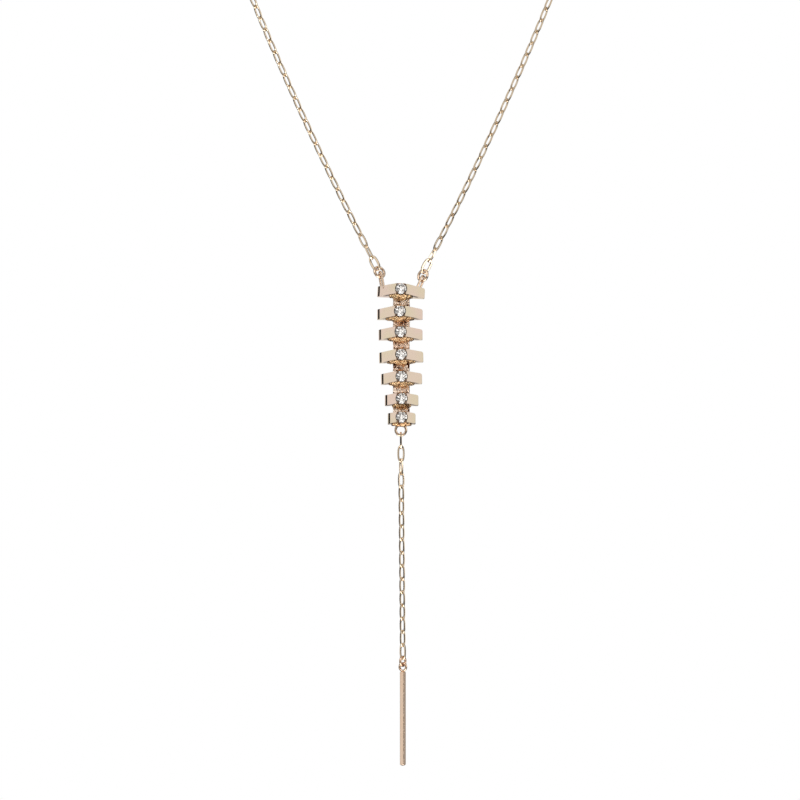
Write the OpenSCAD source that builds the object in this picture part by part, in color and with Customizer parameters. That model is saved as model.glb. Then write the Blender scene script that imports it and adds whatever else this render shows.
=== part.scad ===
// Drop necklace: seven stone-set ribs on a curved spine, a fine chain drop and a square bar.
// Frame: +Z up, the front faces -Y, +X is the viewer's right. The origin is the back of the neck.

/* [Chain] */
// Thickness of the link wire
link_wire = 0.36; // [0.32:0.02:0.38]
// Clear width inside a link
link_opening = 0.78; // [0.76:0.02:0.86]
// Distance from one link to the next
link_pitch = 2.64; // [2.5:0.02:2.8]
// Play between two links
link_play = 0.10; // [0.10:0.01:0.14]

/* [Neck loop] */
// Half width between the two jump rings
start_half = 4.2; // [4:0.1:4.4]
// Height of the back of the neck above the jump rings
back_rise = 124; // [116:1:132]
// Distance from the jump rings back to the neck
back_depth = 104; // [96:1:110]

/* [Ribs] */
// Height of a rib
rib_height = 2.12; // [1.9:0.02:2.2]
// Thickness of a rib at its tips
rib_wall = 0.45; // [0.4:0.05:0.8]
// Angle that the rib wings sweep back by
rib_sweep = 38; // [30:1:40]
// Width of the back spine
spine_width = 3.3; // [2.8:0.1:3.6]

/* [Stones] */
// Diameter of a stone
stone_diameter = 2.15; // [2.0:0.05:2.2]
// Diameter of a bead prong
prong_diameter = 0.42; // [0.36:0.02:0.46]

/* [Bar] */
// Side of the square bar
bar_side = 0.92; // [0.8:0.02:1.1]
// Length of the bar without its loop
bar_length = 18.5; // [14:0.1:24]
// Angle that the bar is turned by about its length
bar_turn = 31; // [20:1:45]

/* [Rings] */
// Outside diameter of the two upper jump rings
ring_outer = 2.6; // [2.4:0.05:2.8]
// Outside diameter of the ring that carries the bar
bar_ring_outer = 2.2; // [2.0:0.02:3.0]

/* [Hidden] */
$fn = 48;

gold = [0.86, 0.72, 0.50];
rose = [0.87, 0.70, 0.58];
clear = [0.85, 0.90, 0.95];

// Everything below the neck is laid out from the level of the two jump rings.
base = [0, -back_depth, -back_rise];

// Vector helpers
function unit(v) = v / norm(v);
function side_of(t) = unit(cross(t, [0, 1, 0]));
function turned(t, roll) = side_of(t) * cos(roll) + cross(t, side_of(t)) * sin(roll);

// The neck path: a leg as the photo shows it, then one plain smooth curve round to the back
leg_top = 56;
leg_slope = 0.522;
leg_bow = 0.00105;
lean_slope = 0.235;
lean_bow = 0.0012;
start_rises = [1.04, 0.44];
side_pull = 78;
back_pull = 79;
function leg(h) = [start_half + leg_slope * h - leg_bow * h * h, lean_slope * h + lean_bow * h * h, h];
leg_end = leg(leg_top);
leg_way = unit([leg_slope - 2 * leg_bow * leg_top, lean_slope + 2 * lean_bow * leg_top, 1]);
back_end = [0, back_depth, back_rise];
function curve(t) = pow(1 - t, 3) * leg_end
    + 3 * pow(1 - t, 2) * t * (leg_end + side_pull * leg_way)
    + 3 * (1 - t) * t * t * (back_end + [back_pull, 0, 0])
    + pow(t, 3) * back_end;
function neck(rise, t) = t < 1 ? leg(rise + t * (leg_top - rise)) : curve(t - 1);
steps = 600;
function trail(rise) = [for (i = [0 : steps]) neck(rise, 2 * i / steps)];
function travel(path) = [for (i = 0, s = 0; i <= steps;
    s = s + (i < steps ? norm(path[i + 1] - path[i]) : 0), i = i + 1) [s, 2 * i / steps]];
// Each list holds the left side and then the right side, which starts a little lower.
LEFT = 0;
RIGHT = 1;
travels = [for (rise = start_rises) travel(trail(rise))];
clasp_reach = 3.6;
neck_lengths = [for (t = travels) t[steps][0] - clasp_reach];
neck_links = round(neck_lengths[LEFT] / link_pitch);
neck_pitches = neck_lengths / neck_links;
neck_points = [for (side = [LEFT, RIGHT]) [for (k = [0 : neck_links])
    neck(start_rises[side], lookup(k * neck_pitches[side], travels[side]))]];
drop_links = 17;
drop_length = 44.8;
drop_pitch = drop_length / drop_links;
// One size of link serves every chain. Its inner length is a round number, so its parts meet exactly.
link_inner = ceil((max(neck_pitches[LEFT], neck_pitches[RIGHT], drop_pitch) + link_play) * 50) / 50;
neck_holds = [for (pitch = neck_pitches) (link_inner - pitch + link_wire) / 2];
drop_hold = (link_inner - drop_pitch + link_wire) / 2;

// Links: roll about the chain's run, in degrees from lying flat to the viewer
leg_rolls = [28, -64, 36];
left_end_rolls = [55, -22, 80];
right_end_rolls = [35, -68, 10];
drop_rolls = [72, -32];
function even_roll(k) = k % 2 == 0 ? 45 : -45;
function neck_roll(k, ends) = k < len(leg_rolls) ? leg_rolls[k]
    : k >= neck_links - len(ends) ? end_roll(k, ends)
    : -even_roll(k - 1);
function end_roll(k, ends) = (neck_links % 2 == 1 ? 1 : -1) * ends[k - neck_links + len(ends)];

// One link stands upright on the Z axis and is open along Y.
module link() {
    straight = link_inner - link_opening;
    middle = (link_opening + link_wire) / 2;
    for (s = [-1, 1]) translate([s * middle, 0, 0])
        cylinder(h = straight, d = link_wire, center = true);
    for (s = [0, 180]) rotate([0, s, 0]) translate([0, 0, straight / 2]) rotate([90, 0, 0])
        rotate_extrude(angle = 180) translate([middle, 0]) circle(d = link_wire);
}

// Puts its child at a point, upright along a run and rolled about it.
module stand(point, run, roll) {
    z = unit(run);
    x = turned(z, roll);
    y = cross(z, x);
    multmatrix([[x.x, y.x, z.x, point.x], [x.y, y.y, z.y, point.y], [x.z, y.z, z.z, point.z]])
        children();
}

module chain(points, rolls) {
    for (k = [0 : len(points) - 2])
        stand((points[k] + points[k + 1]) / 2, points[k + 1] - points[k], rolls[k]) link();
}

module ring(middle, wire) {
    rotate([90, 0, 0]) rotate_extrude() translate([middle, 0]) circle(r = wire);
}

// Neck chains
module chain_left() color(gold) translate(base)
    chain([for (p = neck_points[LEFT]) [-p.x, p.y, p.z]],
        [for (k = [0 : neck_links - 1]) -neck_roll(k, left_end_rolls)]);
module chain_right() color(gold) translate(base)
    chain(neck_points[RIGHT], [for (k = [0 : neck_links - 1]) neck_roll(k, right_end_rolls)]);

// Jump rings at the foot of each neck chain, laid out as on the right side and mirrored for the left.
// A way is the direction from the ring's centre up to its link.
ring_wire = 0.225;
ring_middle = ring_outer / 2 - ring_wire;
ring_roll = -36;
ring_ways = [unit([0.48, 0.20, 0.876]), unit([0.23, 0.17, 0.96])];
leg_runs = [for (points = neck_points) unit(points[1] - points[0])];
joint_to_ring = [for (hold = neck_holds) link_wire / 2 + ring_wire + link_play - hold];
ring_centres = [for (side = [LEFT, RIGHT])
    neck_points[side][0] + joint_to_ring[side] * leg_runs[side] - ring_middle * ring_ways[side]];
SIGN = [-1, 1];
function on_side(side, v) = [SIGN[side] * v.x, v.y, v.z];
module stand_on_side(side, point, run, roll) translate(base)
    stand(on_side(side, point), on_side(side, run), SIGN[side] * roll) children();
module jump_ring(side)
    stand_on_side(side, ring_centres[side], ring_ways[side], ring_roll) ring(ring_middle, ring_wire);
module jump_ring_left() color(rose) jump_ring(LEFT);
module jump_ring_right() color(rose) jump_ring(RIGHT);

// Ribs from the top: half width, depth of the stone's centre below the jump rings, collar radius,
// place to the side, and tilt in degrees with a positive one lifting the left tip
HALF = 0;
DROP = 1;
COLLAR = 2;
SIDE = 3;
TILT = 4;
ribs = [
    [4.75, 2.92, 1.80, -0.05, 2.6],
    [4.55, 7.38, 1.80, -0.28, 0],
    [4.40, 11.52, 1.80, -0.15, -0.2],
    [4.42, 16.06, 1.80, -0.02, -1.2],
    [4.10, 20.46, 1.75, 0.05, -0.8],
    [3.36, 24.88, 1.62, 0.06, 0],
    [2.78, 28.62, 1.45, 0.06, 0],
];
top_lean = 16;
spine_arc = 520;
top_front = -3.44;
arc_height = -ribs[0][DROP] - spine_arc * sin(top_lean);
arc_depth = top_front + spine_arc * cos(top_lean);
function rib_lean(i) = asin((-ribs[i][DROP] - arc_height) / spine_arc);

// A rib's own frame: the stone's seat plane at y = 0, the wings sweep back along +Y to a flat back.
seat_half = 1.25;
tip_bevel = 0.34;
tip_turn = 0.14;
collar_front = 0.45;
collar_back = 2.75;
collar_sag = 0.05;
collar_spread = 0.3;
spine_front = 1.9;
spine_thick = 1.0;
function sweep(x) = (x - seat_half) * tan(rib_sweep);
function rib_back(half) = max(sweep(half) + rib_wall, spine_front + 0.3);
module wing(half) {
    bevel_x = half - tip_bevel - tip_turn;
    linear_extrude(height = rib_height, center = true)
        polygon([[0, 0], [seat_half, 0],
            [bevel_x, sweep(bevel_x)],
            [half - tip_turn, sweep(bevel_x) + tip_bevel],
            [half, sweep(bevel_x) + tip_bevel + 2 * tip_turn],
            [half, rib_back(half)], [0, rib_back(half)]]);
}
module collar(radius) {
    for (s = [-1, 1]) translate([s * collar_spread, 0, 0]) rotate([-90, 0, 0]) rotate_extrude()
        polygon([[0, collar_front], [seat_half, collar_front], [radius, collar_front + 0.6],
            [radius, collar_back - 0.5], [radius - 0.4, collar_back], [0, collar_back]]);
}
prong_ring = 1.16;
prong_up = 0.20;
module prongs() {
    for (a = [45 : 90 : 315]) rotate([0, a, 0]) translate([prong_ring, 0, 0]) {
        rotate([-90, 0, 0]) translate([0, 0, -prong_up]) cylinder(h = 0.9, d = prong_diameter);
        translate([0, -prong_up, 0]) sphere(d = prong_diameter);
    }
}
module rib(i) {
    for (s = [0, 180]) rotate([0, s, 0]) wing(ribs[i][HALF]);
    rotate([-90, 0, 0]) cylinder(h = collar_front + 0.3, r = seat_half);
    translate([0, 0, -collar_sag]) collar(ribs[i][COLLAR]);
    prongs();
}

// Stone sizes: the seat is the stone's own form with a small gap round it.
stone_r = stone_diameter / 2;
seat_gap = 0.05;
crown = 0.36;
girdle = 0.06;
pavilion = 0.92;
table_r = 0.58 * stone_r;
light_hole = 0.45;
module seat() {
    gap = seat_gap;
    rotate([-90, 0, 0]) rotate_extrude()
        polygon([[0, -2], [table_r + gap, -2], [table_r + gap, -crown - gap],
            [stone_r + gap, -gap / 2], [stone_r + gap, girdle + gap],
            [light_hole, girdle + gap + pavilion * (1 - (light_hole - gap) / stone_r)],
            [light_hole, 4], [0, 4]]);
}
module at_rib(i) {
    lean = rib_lean(i);
    translate([ribs[i][SIDE], arc_depth, arc_height]) rotate([-lean, 0, 0]) translate([0, -spine_arc, 0])
        rotate([0, ribs[i][TILT], 0]) children();
}

// The curved back spine
module spine() {
    foot_lean = rib_lean(len(ribs) - 1);
    translate([0, arc_depth, arc_height]) rotate([0, 90, 0]) rotate([0, 0, 270 - top_lean])
        rotate_extrude(angle = top_lean - foot_lean, $fn = 256)
            translate([spine_arc - spine_front - spine_thick, -spine_width / 2])
                square([spine_thick, spine_width]);
}

// Wire eyes: a long upright one at each end of the first rib and the round one under the last.
// The jump ring's lower wire passes between an upright eye's two legs.
eye_wire = 0.18;
eye_middle = 0.58;
eye_reach = 1.12;
eye_rolls = [50, 27];
eye_feet = [[3.68, -0.88, -3.03], [3.17, -1.03, -3.33]];
module top_eye(side) {
    frame_x = turned(ring_ways[side], ring_roll);
    through = cross(ring_ways[side], frame_x);
    toward = unit(ring_centres[side] - eye_feet[side]);
    low = unit(toward - (toward * through) * through);
    crossing = ring_centres[side] - ring_middle * low;
    run = unit(crossing - eye_feet[side]);
    leg_long = norm(crossing - eye_feet[side]) + eye_reach - eye_middle;
    stand_on_side(side, crossing + eye_reach * run, run, eye_rolls[side]) {
        translate([0, 0, -eye_middle]) rotate([90, 0, 0])
            rotate_extrude(angle = 180) translate([eye_middle, 0]) circle(r = eye_wire);
        for (m = [-1, 1]) translate([m * eye_middle, 0, -eye_middle - leg_long])
            cylinder(h = leg_long, r = eye_wire);
    }
}
foot_eye_wire = 0.22;
foot_eye_middle = 1.03;
foot_eye = [-0.1, -8.76, -31.2];

module rib_pendant() color(rose) difference() {
    union() {
        for (i = [0 : len(ribs) - 1]) translate(base) at_rib(i) rib(i);
        translate(base) spine();
        for (side = [LEFT, RIGHT]) top_eye(side);
        translate(base + foot_eye) ring(foot_eye_middle, foot_eye_wire);
    }
    for (i = [0 : len(ribs) - 1]) translate(base) at_rib(i) seat();
}

// A round cut stone: table, star, kite and girdle facets above, long facets to the point below
function circle_points(r, y, n, turn) = [for (k = [0 : n - 1])
    let (a = 360 * k / n + turn) [r * cos(a), y, r * sin(a)]];
module stone(i) {
    n = 8;
    points = concat(
        circle_points(table_r, -crown, n, 0),
        circle_points((table_r + stone_r) / 2 + 0.02, -crown * 0.48, n, 180 / n),
        circle_points(stone_r, 0, 2 * n, 0),
        circle_points(stone_r, girdle, 2 * n, 0),
        [[0, girdle + pavilion, 0]]);
    kite = n;
    rim = 2 * n;
    belt = 4 * n;
    point = 6 * n;
    faces = concat(
        [[for (k = [0 : n - 1]) n - 1 - k]],
        [for (k = [0 : n - 1]) [k, (k + 1) % n, kite + k]],
        [for (k = [0 : n - 1]) [k, rim + 2 * k, kite + (k + n - 1) % n]],
        [for (k = [0 : n - 1]) [k, kite + k, rim + 2 * k]],
        [for (k = [0 : n - 1]) [kite + k, rim + 2 * k + 1, rim + 2 * k]],
        [for (k = [0 : n - 1]) [kite + k, rim + (2 * k + 2) % (2 * n), rim + 2 * k + 1]],
        [for (k = [0 : 2 * n - 1]) [rim + k, rim + (k + 1) % (2 * n), belt + (k + 1) % (2 * n), belt + k]],
        [for (k = [0 : 2 * n - 1]) [belt + k, belt + (k + 1) % (2 * n), point]]);
    color(clear) translate(base) at_rib(i) polyhedron(points, faces);
}
module stone_1() stone(0);
module stone_2() stone(1);
module stone_3() stone(2);
module stone_4() stone(3);
module stone_5() stone(4);
module stone_6() stone(5);
module stone_7() stone(6);

// The chain drop under the last rib
drop_top = [foot_eye.x, foot_eye.y,
    foot_eye.z - foot_eye_middle + foot_eye_wire + link_wire / 2 + link_play - drop_hold];
drop_lean = 0.40;
drop_points = [for (k = [0 : drop_links])
    drop_top - [-drop_lean * k / drop_links, 0, k * drop_pitch]];
module drop_chain() color(gold) translate(base)
    chain(drop_points,
        [for (k = [0 : drop_links - 1]) k < len(drop_rolls) ? drop_rolls[k] : even_roll(k)]);

// The bar's ring hangs in the last link, and the bar's loop hangs in the ring.
bar_wire = 0.22;
bar_ring_middle = bar_ring_outer / 2 - bar_wire;
drop_foot = drop_points[drop_links];
bar_ring_top = drop_foot.z - drop_hold + link_wire / 2 + bar_wire + link_play;
bar_ring_centre = [drop_foot.x, drop_foot.y, bar_ring_top - bar_ring_middle];
bar_ring_turn = 56;
module bar_ring() color(rose) translate(base) translate(bar_ring_centre) rotate([0, 0, bar_ring_turn])
    ring(bar_ring_middle, bar_wire);

loop_wire = 0.23;
loop_middle = 0.75;
loop_play = 0.04;
loop_drop = loop_middle - loop_wire - bar_wire - loop_play;
pivot = bar_ring_centre - [0, 0, bar_ring_middle];
bar_top = 1.06;
bar_shoulder = 0.44;
bar_edge = 0.12;
bar_round = 0.75;
module bar_body() {
    inner = bar_side - 2 * bar_edge;
    long = bar_length + bar_shoulder;
    intersection() {
        translate([0, 0, -long]) linear_extrude(height = long) union() {
            square([bar_side, inner], center = true);
            square([inner, bar_side], center = true);
            for (x = [-1, 1], y = [-1, 1]) translate([x * inner / 2, y * inner / 2]) circle(r = bar_edge);
        }
        union() {
            translate([0, 0, -bar_round]) sphere(r = bar_round);
            translate([0, 0, bar_round - long]) cylinder(h = long - 2 * bar_round, r = bar_round);
            translate([0, 0, bar_round - long]) sphere(r = bar_round);
        }
    }
}
module bar_drop() color(rose) translate(base) translate(pivot) rotate([0, 0, -bar_turn]) {
    translate([0, 0, -loop_drop]) ring(loop_middle, loop_wire);
    translate([0, 0, -bar_top]) bar_body();
}

// The hidden clasp lies flat against the back of the neck.
clasp_middle = 2.2;
clasp_wire = 0.55;
clasp_eye_wire = 0.22;
clasp_eye_middle = 1.0;
end_wire = 0.25;
end_middle = 1.35;
clasp_eye_x = clasp_eye_middle - clasp_reach
    - (link_wire / 2 + clasp_eye_wire + link_play - neck_holds[LEFT]);
end_x = clasp_reach + (link_wire / 2 + end_wire + link_play - neck_holds[RIGHT]) - end_middle;
module clasp() color(gold) {
    ring(clasp_middle, clasp_wire);
    translate([clasp_eye_x, 0, 0]) ring(clasp_eye_middle, clasp_eye_wire);
    translate([0, 0, clasp_middle + 0.3]) cylinder(h = 0.9, r = 0.22);
}
module end_ring() color(gold) translate([end_x, 0, 0]) rotate([90, 0, 0]) ring(end_middle, end_wire);

rib_pendant();
stone_1();
stone_2();
stone_3();
stone_4();
stone_5();
stone_6();
stone_7();
jump_ring_left();
jump_ring_right();
chain_left();
chain_right();
drop_chain();
bar_ring();
bar_drop();
clasp();
end_ring();
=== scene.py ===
# %% [markdown]
# # A drop necklace, piece by piece
#
# The necklace is a loop of fine oval links. Two jump rings at the foot of the loop carry a curved
# spine of seven bar ribs, each with a round clear stone, and a short chain under the spine carries
# a slim square bar. The solids arrive as a fixed frame that nothing here moves. Plain pieces, such
# as the bar and the clasp, stay as they are and only get a finish. The pieces that live by their
# detail, such as the ribs, settings, stones, rings and links, are modelled here by hand.

# %% Load the frame
import math
import bmesh
import bpy
from mathutils import Matrix, Vector


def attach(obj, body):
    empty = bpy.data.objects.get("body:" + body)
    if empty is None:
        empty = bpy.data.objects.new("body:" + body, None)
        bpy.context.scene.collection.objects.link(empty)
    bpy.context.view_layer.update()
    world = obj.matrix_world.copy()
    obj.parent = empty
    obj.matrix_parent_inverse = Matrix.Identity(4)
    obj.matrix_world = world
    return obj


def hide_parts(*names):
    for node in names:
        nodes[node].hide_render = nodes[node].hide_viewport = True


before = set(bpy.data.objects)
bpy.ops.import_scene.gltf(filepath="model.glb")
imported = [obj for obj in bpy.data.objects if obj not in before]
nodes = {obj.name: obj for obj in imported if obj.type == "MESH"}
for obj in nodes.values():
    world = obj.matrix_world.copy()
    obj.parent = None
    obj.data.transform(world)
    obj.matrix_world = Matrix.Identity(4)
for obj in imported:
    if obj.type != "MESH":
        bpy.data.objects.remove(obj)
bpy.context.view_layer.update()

# %% [markdown]
# ## Working in millimetres
#
# A link's wire is a third of a millimetre thick. In metres that is 0.00036, which is awkward to read
# and small enough to upset tools that merge or bevel by distance. Each piece is therefore modelled
# at the origin in millimetres, and one helper scales it down and carries it to its place. The place
# ends up in the mesh and the object stays at the origin, so patterns don't slide.

# %% Helpers for modelling by hand
MM = 0.001
ON_PLANE, DOUBLE, CLEAR_OF = 1e-5, 1e-4, 0.01
BROKEN_EDGE = math.radians(40)


def alone(piece):
    """Selects one object and makes it the active one."""
    bpy.ops.object.select_all(action="DESELECT")
    piece.select_set(True)
    bpy.context.view_layer.objects.active = piece


def enter(piece, action="DESELECT"):
    """Goes into edit mode with nothing selected, or with everything for the action SELECT."""
    alone(piece)
    bpy.ops.object.mode_set(mode="EDIT")
    bpy.ops.mesh.select_all(action=action)


def leave():
    bpy.ops.object.mode_set(mode="OBJECT")


def made(name):
    """Names the piece that an operator has just made."""
    piece = bpy.context.object
    piece.name = piece.data.name = name
    return piece


def pick(piece, kind, test):
    """Selects what passes the test: points by their place, edges by their middle and direction."""
    bpy.ops.mesh.select_mode(type=kind)
    mesh = bmesh.from_edit_mesh(piece.data)
    if kind == "VERT":
        for point in mesh.verts:
            point.select_set(bool(test(point.co)))
        mesh.select_flush(True)
    else:
        for edge in mesh.edges:
            a, b = (point.co for point in edge.verts)
            edge.select_set(bool(test((a + b) / 2, (b - a).normalized())))
    bmesh.update_edit_mesh(piece.data)


def score(piece, point, normal, **options):
    """Divides the faces along a plane. Without options it drops nothing."""
    enter(piece, "SELECT")
    bpy.ops.mesh.bisect(plane_co=point, plane_no=Vector(normal).normalized(),
                        threshold=ON_PLANE, **options)
    leave()


def cut(piece, point, normal, fill=True):
    """Saws the piece at a plane and drops what lies on the normal's side."""
    score(piece, point, normal, use_fill=fill, clear_outer=True)


def modify(piece, kind, **values):
    """Adds a modifier with these values and applies it."""
    alone(piece)
    modifier = piece.modifiers.new(kind.title(), kind)
    for name, value in values.items():
        setattr(modifier, name, value)
    bpy.ops.object.modifier_apply(modifier=modifier.name)


def round_edges(piece, width, segments):
    modify(piece, "BEVEL", width=width, segments=segments, limit_method="ANGLE",
           angle_limit=BROKEN_EDGE)


def outward(piece):
    """Merges doubles and turns every face outwards."""
    enter(piece, "SELECT")
    bpy.ops.mesh.remove_doubles(threshold=DOUBLE)
    bpy.ops.mesh.normals_make_consistent()
    leave()


def smooth(piece, degrees):
    """Shades the piece smooth, except at edges that are sharper than so many degrees."""
    alone(piece)
    bpy.ops.object.shade_smooth_by_angle(angle=math.radians(degrees))


def settle(piece, where):
    """Takes a piece modelled in millimetres to its place, in metres. Its object stays at the origin."""
    piece.data.transform(Matrix.Scale(MM, 4) @ where @ piece.matrix_world)
    piece.matrix_world = Matrix.Identity(4)
    return piece


def placed(name, data):
    """Puts a new object with this data into the scene."""
    thing = bpy.data.objects.new(name, data)
    bpy.context.collection.objects.link(thing)
    return thing


def copy_of(piece, name):
    data = piece.data.copy()
    data.name = name
    return placed(name, data)


def joined(pieces, name):
    alone(pieces[0])
    for piece in pieces:
        piece.select_set(True)
    bpy.ops.object.join()
    return made(name)


def paint_shade(piece, hollow):
    """Writes down for every vertex how much painted shade it gets, for a finish that is dark there."""
    mark = piece.data.attributes.new("hollow", "FLOAT", "POINT")
    for vertex in piece.data.vertices:
        mark.data[vertex.index].value = hollow(vertex.co)


# %% [markdown]
# ## The measures
#
# The same few sizes that shape the solids are named here once more, because the modelled pieces
# must sit exactly where the solids are. The level of the two jump rings is the zero of the layout,
# and every rib leans on one large circle, as the bones of a back do.

# %% Sizes of the pendant and its ribs
BASE = Matrix.Translation((0, -104, -124))
RIBS = [  # half width, stone's depth under the jump rings, collar's radius, place aside, tilt, horn
    (4.75, 2.92, 1.80, -0.05, 2.6, 0.60),
    (4.55, 7.38, 1.80, -0.28, 0.0, 1.10),
    (4.40, 11.52, 1.80, -0.15, -0.2, 0.85),
    (4.42, 16.06, 1.80, -0.02, -1.2, 1.05),
    (4.10, 20.46, 1.75, 0.05, -0.8, 0.85),
    (3.36, 24.88, 1.62, 0.06, 0.0, 0.35),
    (2.78, 28.62, 1.45, 0.06, 0.0, 0.70),
]
HALF, DROP, COLLAR, ASIDE, TILT, HORN = range(6)
RIB_HEIGHT, RIB_WALL = 2.12, 0.45
SWEEP = math.radians(38)
SEAT_HALF = 1.25
TIP_BEVEL, TIP_TURN = 0.34, 0.14
SPINE_WIDTH, SPINE_FRONT, SPINE_THICK = 3.3, 1.9, 1.0
SPINE_ARC = 520
TOP_LEAN, TOP_FRONT = math.radians(16), -3.44
ARC_HEIGHT = -RIBS[0][DROP] - SPINE_ARC * math.sin(TOP_LEAN)
ARC_DEPTH = TOP_FRONT + SPINE_ARC * math.cos(TOP_LEAN)
ARC_CENTRE = BASE @ Matrix.Translation((0, ARC_DEPTH, ARC_HEIGHT))


def lean_of(drop):
    """How far the pendant leans back at this depth under the jump rings, in radians."""
    return math.asin((-drop - ARC_HEIGHT) / SPINE_ARC)


def rib_place(rib):
    """A rib's own frame: the seat plane at y = 0, the wings sweep back along +Y."""
    return (Matrix.Translation((rib[ASIDE], 0, 0)) @ ARC_CENTRE
            @ Matrix.Rotation(-lean_of(rib[DROP]), 4, "X") @ Matrix.Translation((0, -SPINE_ARC, 0))
            @ Matrix.Rotation(math.radians(rib[TILT]), 4, "Y"))


BACKWARDS, UPRIGHT = (Matrix.Rotation(math.radians(turn), 4, "X") for turn in (-90, 90))
print("ribs lean back by", [round(math.degrees(lean_of(rib[DROP])), 1) for rib in RIBS], "degrees")

# %% [markdown]
# ## The camera
#
# The photograph is taken straight on from far away, so that nothing in it looks nearer than the rest.
# A long lens three metres off does the same. Its frame takes in 160 mm at the pendant's depth.

# %% Camera
FRAME_SIDE = 160 * MM
CAMERA_AWAY = 3.0
AIM = Vector((-0.27, -109.5, -149.2)) * MM
camera_data = bpy.data.cameras.new("camera")
camera_data.sensor_width = 36
camera_data.lens = camera_data.sensor_width * CAMERA_AWAY / FRAME_SIDE
camera_data.clip_start = 0.01
camera_data.clip_end = 20
camera = placed("camera", camera_data)
camera.location = AIM - Vector((0, CAMERA_AWAY, 0))
camera.rotation_euler = (math.radians(90), 0, 0)
bpy.context.scene.camera = camera
bpy.context.scene.view_settings.view_transform = "Standard"
print("lens", round(camera_data.lens), "mm")

# %% [markdown]
# ## A white tent with dark flags
#
# Polished metal has almost no look of its own. It shows what is around it, and a jeweller's
# photographer therefore puts it in a white tent and lets a few dark flags in, so that edges and
# wires get a dark line. The tent is the world here. It is white to the camera. For reflections it
# is dim, with soft dark stripes, the flags, and soft bright spots, the openings, at chosen
# directions. A flag and an opening are small node groups that are used several times. Light that
# has gone through a stone meets a mottle of dark and bright cards instead, so that stones sparkle.

# %% The flag and opening groups
SMOOTH_STEP = {"interpolation_type": "SMOOTHSTEP"}
COLOURS = {"data_type": "RGBA"}
UNIT, DOT = {"operation": "NORMALIZE"}, {"operation": "DOT_PRODUCT"}
STRIPE_END = 0.05


def new_group(name, inputs, outputs):
    """A shader node group with sockets by kind. Returns the group and its two end nodes."""
    group = bpy.data.node_groups.new(name, "ShaderNodeTree")
    for in_out, kinds in (("INPUT", inputs), ("OUTPUT", outputs)):
        for kind, socket_names in kinds.items():
            for socket_name in socket_names:
                group.interface.new_socket(socket_name, in_out=in_out, socket_type="NodeSocket" + kind)
    return group, group.nodes.new("NodeGroupInput"), group.nodes.new("NodeGroupOutput")


def wire_up(tree):
    """Three helpers for a node tree: add a node, where _2 is its socket 2, join two, and do a sum."""

    def add(kind, settings=None, **values):
        node = tree.nodes.new("ShaderNode" + kind)
        for name, value in (settings or {}).items():
            setattr(node, name, value)
        for name, value in values.items():
            node.inputs[int(name[1:]) if name[1:].isdigit() else name].default_value = value
        return node

    def link(source, target, out=0, into=0):
        tree.links.new(source.outputs[out], target.inputs[into])
        return target

    def calc(operation, a, b, out_a=0, out_b=0):
        node = add("Math", {"operation": operation})
        link(a, node, out_a, 0)
        return link(b, node, out_b, 1)

    return add, link, calc


def flag_group():
    """A dark upright stripe. It dims the light near one azimuth, between a low and a high level."""
    inputs = {"Vector": ["Direction", "Toward"], "Float": ["Edge", "Core", "Low", "High", "Depth"]}
    group, start, end = new_group("flag", inputs, {"Float": ["Light"]})
    add, link, calc = wire_up(group)
    level = link(start, add("VectorMath", {"operation": "MULTIPLY"}, _1=(1, 1, 0)), "Direction", 0)
    level = link(level, add("VectorMath", UNIT))
    near = link(level, add("VectorMath", DOT))
    link(start, near, "Toward", 1)
    stripe = link(near, add("MapRange", SMOOTH_STEP), "Value", 0)
    link(start, stripe, "Edge", 1)
    link(start, stripe, "Core", 2)
    height = link(start, add("SeparateXYZ"), "Direction", 0)
    above = calc("SUBTRACT", height, start, "Z", "Low")
    below = calc("SUBTRACT", start, height, "High", "Z")
    inside = calc("MINIMUM", above, below)
    band = link(inside, add("MapRange", SMOOTH_STEP, _1=-STRIPE_END, _2=STRIPE_END))
    dark = calc("MULTIPLY", calc("MULTIPLY", stripe, band), start, 0, "Depth")
    light = add("Math", {"operation": "SUBTRACT"}, _0=1.0)
    link(dark, light, 0, 1)
    link(light, end)
    return group


def opening_group():
    """A round bright spot in the tent's wall."""
    inputs = {"Vector": ["Direction", "Toward"], "Float": ["Edge", "Core", "Light", "Wall"]}
    group, start, end = new_group("opening", inputs, {"Float": ["Light"]})
    add, link, _ = wire_up(group)
    near = link(start, add("VectorMath", DOT), "Direction", 0)
    link(start, near, "Toward", 1)
    share = link(near, add("MapRange", SMOOTH_STEP), "Value", 0)
    link(start, share, "Edge", 1)
    link(start, share, "Core", 2)
    light = link(share, add("Mix"), 0, 0)
    link(start, light, "Wall", 2)
    link(start, light, "Light", 3)
    link(light, end)
    return group


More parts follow.
